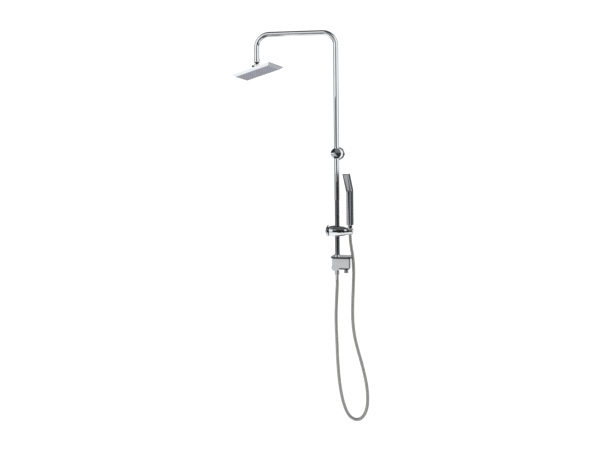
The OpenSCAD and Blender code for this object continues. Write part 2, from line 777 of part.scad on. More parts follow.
module slider_knob() color("gainsboro") at_slider() difference() {
    translate([clamp_x, 0, 0]) rotate([0, -90, 0]) rotate_extrude() union() {
        polygon([[0, 0], [12, 0], [clamp_d / 2, clamp_back], [clamp_d / 2, clamp_back + clamp_rim],
            [0, clamp_back + clamp_rim]]);
        translate([0, clamp_back + clamp_rim - eps]) dome_half(clamp_d / 2, clamp_dome);
    }
    translate([clamp_x - 5, 0, 0]) along_x() cylinder(r = stud_r, h = 10);
}

module cradle_axle() color("slategray") at_slider() translate([axle_x0, 0, 0]) along_x() difference() {
    cylinder(r = axle_r, h = axle_x1 - axle_x0);
    translate([0, 0, 8]) cylinder(r = screw_r, h = 20);
}

module friction_washer() color("dimgray") at_slider() translate([barrel_x1 + sep, 0, 0]) along_x()
    ring(12, axle_r + 0.2, friction_t);

module cradle_screw() color("slategray") at_slider() {
    translate([axle_x0 + 9, 0, 0]) along_x()
        cylinder(r = screw_r - 0.02, h = axle_x1 + web_t + 0.2 - axle_x0 - 9);
    translate([axle_x1 + web_t + 0.1, 0, 0]) along_x() difference() {
        cylinder(r = head_r, h = 3);
        translate([0, 0, 1.2]) cylinder(r = 1.5, h = 3, $fn = 6);
    }
}

// Outer form of the cradle: a bar that narrows along a half wave to a nose with a round end
module cradle_form(inset) {
    end = cradle_x1 - inset;
    wave = [for (i = [0:12]) let (t = i / 12) [
        nose_r + (cradle_top_r - nose_r) * (1 + cos(180 * t)) / 2 - inset,
        cradle_x0 + t * (cradle_x - 1 - cradle_x0)]];
    nose = [for (a = [0:15:90]) [
        nose_r - inset - nose_end + nose_end * cos(a), end - nose_end + nose_end * sin(a)]];
    along_x() rotate_extrude() polygon(concat([[0, cradle_x0]], wave, nose, [[0, end]]));
}

module cradle() color("gainsboro") at_slider() difference() {
    cradle_form(0);
    translate([cradle_x0 - 1, 0, 0]) along_x()
        cylinder(r = axle_r + run, h = axle_x1 + 0.1 - cradle_x0 + 1);
    translate([cradle_x0, 0, 0]) along_x() cylinder(r = screw_r + run, h = 20);
    translate([axle_x1 + web_t, 0, 0]) along_x()
        cylinder(r = head_r + 0.2, h = cradle_x - axle_x1 - web_t);
    translate([cradle_x, 0, -20]) cylinder(r = liner_r + 0.02, h = 40);
}

// Cone and neck of the handset's nut, grown by a gap all round
module nut_form(grow) {
    translate([0, 0, cone_low - slider_z])
        cylinder(r1 = cone_r0 + grow, r2 = cone_r1 + grow, h = cone_high - cone_low);
    translate([0, 0, cone_high - slider_z - eps]) cylinder(r = cone_r1 + grow, h = 8);
}

module cradle_liner() color("dimgray") at_slider() difference() {
    intersection() {
        translate([cradle_x, 0, -20]) cylinder(r = liner_r, h = 40);
        cradle_form(0.5);
    }
    translate([cradle_x, 0, 0]) nut_form(clear);
    translate([cradle_x, 0, -20]) cylinder(r = cone_r0 + clear, h = 20);
}

// ---- handset ----

module at_hand() { translate([cradle_x, -riser_off, 0]) rotate([0, 0, hand_yaw]) children(); }

// Moves a piece into the leaning spray end, whose lower end is at the bend
module in_spray() { translate([0, 0, bend_z]) rotate([hand_bend, 0, 0]) children(); }

// Points around a rectangle with round corners, taken clockwise
function round_rectangle(half, corner) = [for (q = [0:3], i = [0:4])
    let (a = -90 * q - 22.5 * i, side = [sign(cos(-90 * q - 45)), sign(sin(-90 * q - 45))])
    [(half[0] - corner) * side[0] + corner * cos(a), (half[1] - corner) * side[1] + corner * sin(a)]];

// Bent square bar between two heights, mitred at the bend
module hand_bar(width, depth, corner, low, high) {
    section = round_rectangle([width / 2, depth / 2], corner);
    mitre = tan(hand_bend / 2);
    loft(concat([for (p = section) [p[0], p[1], low]],
        [for (p = section) [p[0], p[1], bend_z + p[1] * mitre]],
        [for (p = section) [p[0], p[1] - (high - bend_z - p[1] * mitre) * tan(hand_bend), high]]),
        len(section));
}

module handset_shell() color("gainsboro") at_hand() difference() {
    hand_bar(hand_side, hand_depth, hand_corner, hand_z0, hand_top);
    hand_bar(hand_side - 2 * hand_wall, hand_depth - 2 * hand_wall, hand_corner - hand_wall + 0.5,
        hand_z0 - 1, hand_top - hand_wall);
    in_spray() translate([-spray_w / 2, -hand_depth, spray_z0])
        cube([spray_w, hand_depth, spray_h + 2 * sep]);
}

module handset_plug() color("silver") at_hand() difference() {
    inner = [hand_side, hand_depth] / 2 - [1, 1] * (hand_wall + sep);
    slab(-inner, inner, hand_z0, hand_z0 + plug_h, hand_corner - hand_wall + 0.6);
    translate([0, 0, hand_z0 - 1]) cylinder(r = inlet_r, h = plug_h + 2);
}

spray_cols = 3;
spray_rows = 10;
spray_pitch_x = 6;
spray_pitch_z = 5.8;
spray_h = spray_z1 - spray_z0 - 6 - 2 * sep;
spray_front = -hand_depth / 2;

// Centres of the handset's nozzles, as even rows over the spray plate
module over_spray() {
    for (i = [0:spray_cols - 1], j = [0:spray_rows - 1])
        translate([(i - (spray_cols - 1) / 2) * spray_pitch_x, 0,
            spray_z0 + spray_h / 2 + (j - (spray_rows - 1) / 2) * spray_pitch_z]) children();
}

module spray_plate() color("lightslategray") at_hand() in_spray() difference() {
    translate([-spray_w / 2 + sep, spray_front - 0.4, spray_z0 + sep])
        cube([spray_w - 2 * sep, 2.4, spray_h]);
    over_spray() translate([0, spray_front + 4, 0]) into_room() cylinder(r = 1.1, h = 8, $fn = 24);
}

module spray_nozzles() color("dimgray") at_hand() in_spray() union() {
    translate([-spray_w / 2 + 1, spray_front + 2 + sep, spray_z0 + 1])
        cube([spray_w - 2, 1.2, spray_h - 2]);
    over_spray() translate([0, spray_front + 2.5, 0]) into_room() cylinder(r = 1, h = 3.6, $fn = 24);
}

module handset_tube() color("white") at_hand() difference() {
    union() {
        translate([0, 0, hand_z0 + plug_h + 3]) cylinder(r = 5, h = hand_len - plug_h - 3);
        in_spray() translate([-spray_w / 2 + 1, spray_front + 4, -3])
            cube([spray_w - 2, hand_depth - 9, spray_h + 3]);
    }
    translate([0, 0, hand_z0 + plug_h + 2]) cylinder(r = 3.5, h = hand_len - plug_h + 6);
    in_spray() translate([-spray_w / 2 + 3, spray_front + 3, 2])
        cube([spray_w - 6, hand_depth - 11, spray_h - 4]);
}

module handset_inlet() color("silver") at_hand() translate([0, 0, seat_z + 4.1])
    ring(inlet_r - 0.02, 4.5, hand_z0 + plug_h + 2.5 - seat_z - 4.1);

module cone_nut() color("silver") translate([cradle_x, -riser_off, 0]) difference() {
    rotate_extrude() polygon([[0, cone_low], [cone_r0, cone_low], [cone_r1, cone_high],
        [cone_r1, cone_top - 1.5], [cone_r1 - 1, cone_top], [0, cone_top]]);
    translate([0, 0, cone_low - 1]) cylinder(r = 6, h = 30);
    translate([0, 0, seat_z]) cylinder(r = inlet_r + 0.05, h = 40);
}

module handset_washer() color("dimgray") translate([cradle_x, -riser_off, seat_z + 2.1])
    ring(inlet_r - 0.02, tail_bore, 1.9);

module upper_ferrule() color("silver") translate([cradle_x, -riser_off, 0]) union() {
    translate([0, 0, hose_end]) ring(5.9, tail_bore, seat_z - hose_end + 1);
    translate([0, 0, seat_z + sep]) ring(inlet_r - 0.05, tail_bore, 2);
}

// ---- outlet union and hose ----

module at_outlet(z) { translate([outlet_x, -riser_off, z]) children(); }

module outlet_nipple() color("goldenrod") difference() {
    union() {
        at_outlet(outlet_low) cylinder(r = 6.45, h = boss_z - outlet_low);
        at_outlet(union_end) cylinder(r = union_r, h = union_len);
        at_outlet(outlet_low - 1) cylinder(r = union_r - 0.2, h = 2.5);
    }
    at_outlet(union_end - 1) cylinder(r = union_bore, h = 40);
}

module outlet_washer() color("dimgray") at_outlet(union_end - 1.6) ring(union_r - 0.1, union_bore, 1.55);

module outlet_nut() color("silver") difference() {
    at_outlet(union_end - 6) rotate_extrude() polygon([[0, 0], [nut_r - 1, 0], [nut_r, 1],
        [nut_r, nut_h - 1], [nut_r - 1, nut_h], [0, nut_h]]);
    at_outlet(union_end - 3.2) cylinder(r = union_r + 0.05, h = 30);
    at_outlet(union_end - 7) cylinder(r = tail_r + 0.05, h = 10);
    for (a = [0:30:330]) at_outlet(union_end - 7) rotate([0, 0, a])
        translate([nut_r + 0.9, 0, 0]) cylinder(r = 1.3, h = 12);
}

module lower_ferrule() color("silver") difference() {
    union() {
        at_outlet(union_end - 3.1) cylinder(r = union_r - 0.1, h = 1.4);
        at_outlet(union_end - 6.5) cylinder(r = tail_r, h = 4);
        at_outlet(hose_start) cylinder(r = ferrule_r, h = union_end - 6.4 - hose_start);
    }
    at_outlet(hose_start - 1) cylinder(r = tail_bore, h = 40);
}

// Smooth curve through the route's points, with one point added between each two
function mid_point(a, b, c, d) = (-a + 9 * b + 9 * c - d) / 16;
function route_at(i) = HOSE[max(0, min(len(HOSE) - 1, i))];
hose_path = [for (i = [0:len(HOSE) - 1], half = [0:(i < len(HOSE) - 1 ? 1 : 0)])
    half == 0 ? HOSE[i] : mid_point(route_at(i - 1), HOSE[i], route_at(i + 1), route_at(i + 2))];
function hose_dir(i) = let (n = len(hose_path) - 1)
    i == 0 ? [0, -1] : i == n ? [0, 1]
    : let (d = hose_path[i + 1] - hose_path[i - 1]) d / norm(d);
hose_rings = [for (i = [0:len(hose_path) - 1], k = [0:hose_sides - 1])
    let (p = hose_path[i], d = hose_dir(i), a = 360 * k / hose_sides)
    [p[0] - d[1] * hose_r * cos(a), -riser_off + hose_r * sin(a), p[1] + d[0] * hose_r * cos(a)]];

module hose() color("darkgray") loft(hose_rings, hose_sides);

diverter_cover();
top_plate();
plate_tray();
knob_plinth();
diverter_core();
back_plate();
back_screws();
inlet_nipple();
inlet_washer();
inlet_filter();
diverter_cartridge();
diverter_knob();
diverter_spindle();
ceramic_disc();
riser_collar();
riser_seal();
lower_riser_tube();
seal_carrier();
carrier_orings();
bracket_plate();
bracket_body();
bracket_flange();
bracket_cap();
bracket_grub_screw();
bracket_bush();
upper_riser_tube();
drop_collar();
ball_stem();
swivel_washer();
ball_seat();
retaining_nut();
head_shell();
nozzle_plate();
nozzle_mat();
head_gasket();
head_screws();
slider_body();
slider_bush();
clamp_pad();
cradle_axle();
friction_washer();
cradle_screw();
slider_knob();
knob_stud();
cradle();
cradle_liner();
handset_shell();
handset_plug();
spray_plate();
spray_nozzles();
handset_tube();
handset_inlet();
cone_nut();
handset_washer();
upper_ferrule();
outlet_nipple();
outlet_washer();
outlet_nut();
lower_ferrule();
hose();
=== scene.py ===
import math

import bmesh
import bpy
from mathutils import Matrix, Vector


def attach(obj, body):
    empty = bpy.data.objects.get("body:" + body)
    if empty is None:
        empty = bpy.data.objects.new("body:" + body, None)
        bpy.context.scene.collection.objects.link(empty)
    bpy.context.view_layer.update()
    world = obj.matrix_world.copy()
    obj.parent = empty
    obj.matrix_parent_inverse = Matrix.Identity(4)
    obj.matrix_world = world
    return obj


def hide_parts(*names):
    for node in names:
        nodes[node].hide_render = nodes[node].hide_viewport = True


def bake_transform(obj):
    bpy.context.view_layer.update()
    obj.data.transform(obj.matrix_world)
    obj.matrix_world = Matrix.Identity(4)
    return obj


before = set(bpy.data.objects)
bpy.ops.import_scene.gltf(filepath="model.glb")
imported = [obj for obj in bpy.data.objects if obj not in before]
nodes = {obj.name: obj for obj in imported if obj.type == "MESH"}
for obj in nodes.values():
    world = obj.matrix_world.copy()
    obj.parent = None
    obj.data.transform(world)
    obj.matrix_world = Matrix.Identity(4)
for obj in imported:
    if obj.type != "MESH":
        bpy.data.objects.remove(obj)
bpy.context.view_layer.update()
MM = 0.001


# ---- camera ----

VIEW_FROM = 14  # degrees, from square on towards the left
AZIMUTH = math.radians(VIEW_FROM)
RIGHT = Vector((math.cos(AZIMUTH), math.sin(AZIMUTH), 0))
FORWARD = Vector((-math.sin(AZIMUTH), math.cos(AZIMUTH), 0))
RISER = Vector((0, -0.05, 0))
DISTANCE = 3.172
CAMERA_LEFT = 0.157
CAMERA_UP = 0.436
CAMERA_ROLL = -0.49  # degrees
PICTURE_WIDTH = 600

camera = bpy.data.objects.new("camera", bpy.data.cameras.new("camera"))
bpy.context.scene.collection.objects.link(camera)
camera.data.lens = 45
camera.data.sensor_width = 36
camera.data.shift_x = 0.00075
camera.data.shift_y = -65 / PICTURE_WIDTH
camera.data.clip_start = 0.05
camera.location = RISER - FORWARD * DISTANCE - RIGHT * CAMERA_LEFT + Vector((0, 0, CAMERA_UP))
camera.rotation_euler = (
    Matrix.Rotation(AZIMUTH, 4, "Z")
    @ Matrix.Rotation(math.radians(90), 4, "X")
    @ Matrix.Rotation(math.radians(CAMERA_ROLL), 4, "Z")
).to_euler()
bpy.context.scene.camera = camera
bpy.context.scene.view_settings.view_transform = "Standard"


# ---- materials ----


def srgb(code):
    """A colour from its sRGB hex value, in linear light."""
    out = []
    for i in (0, 2, 4):
        c = int(code[i : i + 2], 16) / 255
        out.append(c / 12.92 if c <= 0.04045 else ((c + 0.055) / 1.055) ** 2.4)
    return (*out, 1.0)


def add(tree, kind, settings=(), **links):
    """Adds a node, sets its properties and inputs, and links the inputs that are given a socket."""
    node = tree.nodes.new(kind)
    for key, value in dict(settings).items():
        if isinstance(key, str) and hasattr(node, key):
            setattr(node, key, value)
        else:
            node.inputs[key].default_value = value
    for key, source in links.items():
        name = key.replace("_", " ")
        numbered = key[0] == "i" and key[1:].isdigit()
        tree.links.new(source, node.inputs[int(key[1:]) if numbered else name])
    return node


def surface(name, colour, second, metallic, rough, ior=1.5, grain_mm=4.0, rough_span=0.06,
            bump_mm=0.004, stretch=(1, 1, 1)):
    """A solid finish: two close shades in a grain of real size, uneven gloss and fine relief."""
    m = bpy.data.materials.new(name)
    m.use_nodes = True
    t = m.node_tree
    bsdf = t.nodes["Principled BSDF"]
    where = add(t, "ShaderNodeTexCoord").outputs["Object"]
    place = add(t, "ShaderNodeMapping", {"Scale": [1000 / grain_mm * s for s in stretch]},
                Vector=where)
    grain = add(t, "ShaderNodeTexNoise", {"Scale": 1.0, "Detail": 4.0},
                Vector=place.outputs["Vector"])
    broad = add(t, "ShaderNodeTexNoise", {"Scale": 12.0, "Detail": 2.0}, Vector=where)
    ramp = add(t, "ShaderNodeValToRGB", {}, Fac=grain.outputs["Fac"])
    for element, position, shade in zip(ramp.color_ramp.elements, (0.25, 0.75), (colour, second)):
        element.position = position
        element.color = srgb(shade)
    gloss = add(t, "ShaderNodeMapRange",
                {"From Min": 0.3, "From Max": 0.7, "To Min": max(0.02, rough - rough_span / 2),
                 "To Max": rough + rough_span / 2}, Value=broad.outputs["Fac"])
    bump = add(t, "ShaderNodeBump", {"Strength": 1.0, "Distance": bump_mm * MM},
               Height=grain.outputs["Fac"])
    t.links.new(ramp.outputs["Color"], bsdf.inputs["Base Color"])
    t.links.new(gloss.outputs["Result"], bsdf.inputs["Roughness"])
    t.links.new(bump.outputs["Normal"], bsdf.inputs["Normal"])
    bsdf.inputs["Metallic"].default_value = metallic
    if not metallic:
        bsdf.inputs["IOR"].default_value = ior
    return m


# Each finish is named for the real one; the note says what it gives the eye.
FINISH = {
    # bright plate on brass: mirror-clear reflections, faintly cool
    "chrome": surface("bright_chrome_plate", "D9DBDD", "D3D5D8", 1, 0.04, grain_mm=9,
                      rough_span=0.03, bump_mm=0.0005),
    # bright plate on plastic: as clear as on brass, with a slight waviness
    "plated_plastic": surface("chrome_plated_abs", "D5D8DC", "CED1D6", 1, 0.035, grain_mm=14,
                              rough_span=0.02, bump_mm=0.001),
    # fine-ground tube that the upper riser slides on: darker and more blurred than the plate
    "tube_steel": surface("ground_stainless_tube", "929496", "8A8C8F", 1, 0.2, grain_mm=2.5,
                          rough_span=0.05, bump_mm=0.001, stretch=(4, 4, 1)),
    # turned waterways, only seen inside
    "brass": surface("machined_brass", "C9A55C", "BD9850", 1, 0.28, grain_mm=0.8),
    # fixing plate and screws
    "steel": surface("drawn_stainless_steel", "B9BABB", "ACAEB0", 1, 0.3, grain_mm=0.6),
    # seals and washers: dull near-black
    "rubber": surface("moulded_epdm_rubber", "1A1B1C", "232425", 0, 0.6, ior=1.52, grain_mm=0.7),
    # bushes and liner: waxy white
    "acetal": surface("moulded_acetal", "E3E3DE", "DAD9D3", 0, 0.4, ior=1.48, grain_mm=1.5),
    # valve disc
    "ceramic": surface("ground_alumina", "ECEAE4", "E4E1DA", 0, 0.2, ior=1.76, grain_mm=0.5),
    # nozzle plate of the rain head: blue-grey with a low sheen
    "face_plastic": surface("moulded_grey_abs", "8A8E99", "858994", 0, 0.4, ior=1.5, grain_mm=1.2),
    # nozzles: a shade paler than the plate round them, and softer
    "silicone": surface("moulded_grey_silicone", "8D919C", "888C97", 0, 0.5, ior=1.41,
                        grain_mm=1.0),
    # tray and plinth: satin black, as painted shade. The tray stands in for the dark band of shade
    # and dark reflection under the top plate. The plinth stands in for the dark line along the
    # cover's bottom edge. The same black is also used for the ball stem and the grub screw.
    "black_plastic": surface("black_abs_and_painted_shade", "060607", "09090A", 0, 0.35, ior=1.46,
                             grain_mm=1.0),
    # diverter knob: satin plate, an even blue-grey
    "satin_plate": surface("satin_chrome_plate", "A4A9B4", "9CA1AC", 1, 0.32, grain_mm=1.5),
    # frame of the handset's spray plate: dark and shiny. The bezel is real, but its dark colour is
    # a painted reflection of the dark that plated chrome would mirror there.
    "dark_trim": surface("charcoal_abs_painted_reflection", "3C3D41", "38393D", 0, 0.22, ior=1.53, grain_mm=2.0),
    # handset's spray plate: an even light grey against its dark frame
    "pale_trim": surface("satin_silver_abs", "9A9B9E", "949598", 0, 0.35, ior=1.5, grain_mm=2.0),
    # hose strip: mid grey with soft bright lines on the bands
    "hose_metal": surface("formed_stainless_strip", "A8A8A6", "9C9C9A", 1, 0.28, grain_mm=1.4),
}


# ---- mesh helpers ----


def keep_mesh(name, mesh, slot, body, replaced=()):
    """Makes an object of a finished mesh, gives it its finish, hangs it on its body and hides the
    CAD parts that it stands for.
    """
    o = bpy.data.objects.new(name, mesh)
    bpy.context.scene.collection.objects.link(o)
    mesh.materials.append(FINISH[slot])
    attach(o, body)
    if replaced:
        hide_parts(*replaced)
    return o


def smooth_but_for_edges(mesh):
    mesh.shade_smooth()
    mesh.set_sharp_from_angle(angle=math.radians(40))


def loft_mesh(name, rings):
    """Skin over rings of points, all with the same number, with a flat cap at each end."""
    count = len(rings[0])
    points = [tuple(p) for ring in rings for p in ring]
    faces = []
    for a in range(0, len(points) - count, count):
        for k in range(count):
            n = (k + 1) % count
            faces.append((a + k, a + n, a + count + n, a + count + k))
    faces.append(tuple(reversed(range(count))))
    faces.append(tuple(range(len(points) - count, len(points))))
    mesh = bpy.data.meshes.new(name)
    mesh.from_pydata(points, [], faces)
    mesh.validate()
    b = bmesh.new()
    b.from_mesh(mesh)
    bmesh.ops.recalc_face_normals(b, faces=b.faces)
    b.to_mesh(mesh)
    b.free()
    smooth_but_for_edges(mesh)
    return mesh


# ---- hose ----

HOSE_Y = -50
HOSE_R = 6.75
BAND_PITCH = 3.2
STEP_DEPTH = 0.42
STEP_SHARE = 0.17  # of the pitch, for the narrow step between two bands
BAND_ROOM = 0.06  # left between the bands and the hose's radius
ROUTE = [  # x and z of the hose's centre line, from the diverter's outlet to the handset
    (-2, -70), (-2, -95), (-4, -130), (-6, -170), (-8, -215), (-8, -260), (-6.5, -305),
    (-5, -350), (-3.5, -395), (-1, -440), (2.5, -485), (8, -530), (16, -572), (27, -609),
    (41, -637), (59, -653), (79, -657), (98, -648), (112, -628), (120.5, -602), (123.5, -572),
    (122.5, -535), (117, -495), (108.5, -455), (98.5, -415), (87, -375), (76.5, -335),
    (68.5, -295), (64, -250), (63, -205), (64, -160), (66, -115), (68, -70), (69, -30), (68, 0),
    (65.5, 28), (61.5, 55), (57.5, 82), (55.5, 104), (55, 118),
]


def refine(points):
    """Puts one point on a smooth curve between each two."""
    out = []
    for i in range(len(points) - 1):
        a, b, c, d = (points[min(max(j, 0), len(points) - 1)] for j in (i - 1, i, i + 1, i + 2))
        out += [b, (-a + 9 * b + 9 * c - d) / 16]
    return out + [points[-1]]


def evenly(points, step):
    """The same line with its points a step apart."""
    along = [0.0]
    for a, b in zip(points, points[1:]):
        along.append(along[-1] + (b - a).length)
    count = round(along[-1] / step)
    out, i = [], 0
    for k in range(count + 1):
        s = along[-1] * k / count
        while i < len(points) - 2 and along[i + 1] < s:
            i += 1
        t = (s - along[i]) / (along[i + 1] - along[i])
        out.append(points[i].lerp(points[i + 1], min(max(t, 0), 1)))
    return out


def length_of(points):
    return sum((b - a).length for a, b in zip(points, points[1:]))


def hose_mesh(name, path, first):
    """Tube of formed steel strip: a helix of rounded bands with a narrow step between them."""
    sides = 20
    rings = []
    s = first
    for i, p in enumerate(path):
        d = (path[min(i + 1, len(path) - 1)] - path[max(i - 1, 0)]).normalized()
        across = Vector((-d.z, 0, d.x))
        if i:
            s += (p - path[i - 1]).length
        ring = []
        for k in range(sides):
            a = 2 * math.pi * k / sides
            phase = (s / MM / BAND_PITCH + k / sides) % 1
            r = HOSE_R - STEP_DEPTH * math.exp(-(((phase - 0.5) / STEP_SHARE) ** 2)) - BAND_ROOM
            ring.append(p + (across * math.cos(a) + Vector((0, 1, 0)) * math.sin(a)) * r * MM)
        rings.append(ring)
    return loft_mesh(name, rings)


def hose(name, path, before):
    """One length of the hose, laid in place along its path, which hides the CAD hose."""
    o = bpy.data.objects.new(name, hose_mesh(name, path, before))
    bpy.context.scene.collection.objects.link(o)
    o.data.materials.append(FINISH["hose_metal"])
    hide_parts("hose")
    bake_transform(o)


route = [Vector((x, HOSE_Y, z)) * MM for x, z in ROUTE]
for _ in range(3):
    route = refine(route)
SPLIT_Z = -30  # beside the diverter, where the length up to the handset begins
HOSE_STEP = 0.64 * MM
HOSE_TOP = Vector((55, HOSE_Y, 180)) * MM  # inside the handset
split = max(i for i, p in enumerate(route) if p.z <= SPLIT_Z * MM and p.x > 0.05)
low_path = evenly(route[: split + 1], HOSE_STEP)
high_path = evenly(route[split:] + [HOSE_TOP], HOSE_STEP)
hose("hose_loop", low_path, 0)
hose("hose_to_handset", high_path, length_of(low_path))


# ---- finishes of the CAD nodes ----

# Each CAD part takes the finish that its material names. The black of the tray and plinth is
# painted shade.
for name, node in nodes.items():
    current = node.data.materials[0].name.split(".")[0]
    node.data.materials[0] = FINISH[current]
nodes["diverter_knob"].data.materials[0] = FINISH["satin_plate"]
nodes["ball_stem"].data.materials[0] = FINISH["black_plastic"]


# ---- pieces that the CAD leaves plain ----


def circle(place, across, up, radius, height, count):
    """Points round a local axis, in mm, put in the frame by place."""
    return [place @ Vector((across + radius * math.cos(2 * math.pi * k / count),
                            up + radius * math.sin(2 * math.pi * k / count), height)) * MM
            for k in range(count)]


def plate(name, outline, low, high, round_mm, place, finish, replaced=()):
    """Plate of the handset between two heights, with a small bevel round its upper face, in mm."""
    centre = Vector((sum(p[0] for p in outline), sum(p[1] for p in outline))) / len(outline)

    def ring(inset, height):
        out = []
        for p in outline:
            q = Vector(p) - centre
            q *= max(0.0, 1 - inset / q.length)
            out.append(place @ Vector((centre.x + q.x, centre.y + q.y, height)) * MM)
        return out

    rings = [ring(0, low), ring(0, high - round_mm), ring(round_mm * 0.4, high - round_mm * 0.3),
             ring(round_mm, high)]
    o = keep_mesh(name, loft_mesh(name, rings), "face_plastic", "handset", replaced)
    o.data.materials[0] = FINISH[finish]


# The arm's and the rain head's sizes, as the CAD has them, in mm and degrees.
ARM_REACH, ARM_SWING, BALL_Z = 340, 6, 840
HEAD_TILT, HEAD_LEAN, HEAD_YAW = 13.5, 125, -22
NUT_R = 15.5
swing = math.radians(180 + ARM_SWING)
lean_axis = math.radians(HEAD_LEAN + 90)
ball = Vector((ARM_REACH * math.cos(swing), HOSE_Y + ARM_REACH * math.sin(swing), BALL_Z))
head_place = (
    Matrix.Translation(ball)
    @ Matrix.Rotation(math.radians(HEAD_TILT), 4, (math.cos(lean_axis), math.sin(lean_axis), 0))
    @ Matrix.Rotation(math.radians(HEAD_YAW), 4, "Z")
)
GRUB_SUNK, GRUB_UP = 2.5, 2
GRUB = [(0.4, -0.6), (2.8, -0.6), (3.5, 0.0), (3.5, 8.4), (2.9, 9.0), (1.5, 9.0), (1.5, 6.4)]
grub_place = (
    head_place
    @ Matrix.Rotation(math.radians(180 + VIEW_FROM - HEAD_YAW), 4, "Z")
    @ Matrix.Translation(Vector((NUT_R - GRUB_SUNK, 0, GRUB_UP)))
    @ Matrix.Rotation(math.radians(90), 4, "Y")
)
grub_rings = [circle(grub_place, 0, 0, radius, height, 64) for radius, height in GRUB]
grub = keep_mesh("nut_grub_screw", loft_mesh("nut_grub_screw", grub_rings), "steel", "rain_head")
grub.data.materials[0] = FINISH["black_plastic"]

# The handset's sizes, as the CAD has them, in mm and degrees.
HAND_X, HAND_YAW, HAND_BEND, HAND_BEND_Z, HAND_HALF = 55, -13.5, 26, 306, 12.5
spray_place = (
    Matrix.Translation(Vector((HAND_X, HOSE_Y, 0)))
    @ Matrix.Rotation(math.radians(HAND_YAW), 4, "Z")
    @ Matrix.Translation(Vector((0, 0, HAND_BEND_Z)))
    @ Matrix.Rotation(math.radians(HAND_BEND), 4, "X")
    @ Matrix.Translation(Vector((0, -HAND_HALF, 0)))
    @ Matrix.Rotation(math.radians(90), 4, "X")
)
# A thin dark sheet under the spray panel forms the bezel. Its dark colour is a painted reflection.
FRAME = [(-11.6, 0.8), (11.6, 0.8), (12.0, 2), (12.0, 81), (11.4, 83.5), (-11.4, 83.5), (-12.0, 81),
         (-12.0, 2)]
plate("spray_frame", FRAME, 0.03, 0.6, 0.25, spray_place, "dark_trim")

# The panel widens towards the handset's end: left and right at its narrow and its wide end. It sits
# right of centre, so that more of the dark frame shows on its left, as a painted dark reflection.
NARROW_UP, NARROW_LEFT, NARROW_RIGHT = 9, -2.6, 4.2
WIDE_UP, WIDE_LEFT, WIDE_RIGHT = 78, -7.8, 10.6
CORNER_IN, CORNER_UP = 0.8, 2
PANEL = [
    (NARROW_LEFT + CORNER_IN, NARROW_UP - CORNER_UP),
    (NARROW_RIGHT - CORNER_IN, NARROW_UP - CORNER_UP),
    (NARROW_RIGHT, NARROW_UP),
    (WIDE_RIGHT, WIDE_UP),
    (WIDE_RIGHT - CORNER_IN, WIDE_UP + CORNER_UP),
    (WIDE_LEFT + CORNER_IN, WIDE_UP + CORNER_UP),
    (WIDE_LEFT, WIDE_UP),
    (NARROW_LEFT, NARROW_UP),
]
plate("spray_panel", PANEL, 0.5, 1.1, 0.3, spray_place, "pale_trim", ["spray_plate"])

TIP_ROWS, TIP_PITCH, TIP_FIRST, TIP_MARGIN = 11, 6.1, 13, 1.6
TIP = [(0.85, 1.0), (0.75, 1.6), (0.45, 1.75)]  # radius and height of each ring of one nozzle


def spray_tips():
    """Nozzle tips of the handset, in rows that spread with the panel."""
    mesh = bpy.data.meshes.new("spray_tips")
    points, faces = [], []
    sides = 10
    for row in range(TIP_ROWS):
        up = TIP_FIRST + row * TIP_PITCH
        share = (up - NARROW_UP) / (WIDE_UP - NARROW_UP)
        left = NARROW_LEFT + (WIDE_LEFT - NARROW_LEFT) * share + TIP_MARGIN
        right = NARROW_RIGHT + (WIDE_RIGHT - NARROW_RIGHT) * share - TIP_MARGIN
        columns = 2 + row // 3
        for column in range(columns):
            across = left + (right - left) * column / (columns - 1)
            first = len(points)
            for radius, height in TIP:
                points += circle(spray_place, across, up, radius, height, sides)
            for a in (first, first + sides):
                faces += [(a + k, a + (k + 1) % sides, a + sides + (k + 1) % sides, a + sides + k)
                          for k in range(sides)]
            faces.append(tuple(range(first + 2 * sides, first + 3 * sides)))
            faces.append(tuple(reversed(range(first, first + sides))))
    mesh.from_pydata([tuple(p) for p in points], [], faces)
    smooth_but_for_edges(mesh)
    keep_mesh("spray_tips", mesh, "silicone", "handset", ["spray_nozzles"])


spray_tips()


# ---- studio ----

FLOOR_Z = -1.05
FLOOR = [(-7, -7), (7, -7), (7, 9), (-7, 9)]
floor = bpy.data.meshes.new("floor")
floor.from_pydata([(x, y, FLOOR_Z) for x, y in FLOOR], [], [(0, 1, 2, 3)])
floor.materials.append(surface("painted_white_floor", "FAFAFA", "F8F8F8", 0, 0.9, grain_mm=30,
                               bump_mm=0.01))
floor_object = bpy.data.objects.new("studio_floor", floor)
bpy.context.scene.collection.objects.link(floor_object)
floor_object.visible_glossy = False


def flag(name, corners, level, tint=(1, 1, 1)):
    """A studio flag that only gloss shows: corners as right, towards the camera and up, in m."""
    mesh = bpy.data.meshes.new(name)
    points = [RISER + RIGHT * a - FORWARD * b + Vector((0, 0, c)) for a, b, c in corners]
    mesh.from_pydata([tuple(p) for p in points], [], [tuple(range(len(points)))])
    m = bpy.data.materials.new(name + "_cloth")
    m.use_nodes = True
    t = m.node_tree
    glow = add(t, "ShaderNodeEmission", {"Color": (*[level * c for c in tint], 1), "Strength": 1.0})
    t.links.new(glow.outputs[0], t.nodes["Material Output"].inputs["Surface"])
    t.nodes.remove(t.nodes["Principled BSDF"])
    mesh.materials.append(m)
    o = bpy.data.objects.new(name, mesh)
    bpy.context.scene.collection.objects.link(o)
    o.visible_camera = False
    o.visible_diffuse = False
    o.visible_shadow = False
    o.visible_transmission = False


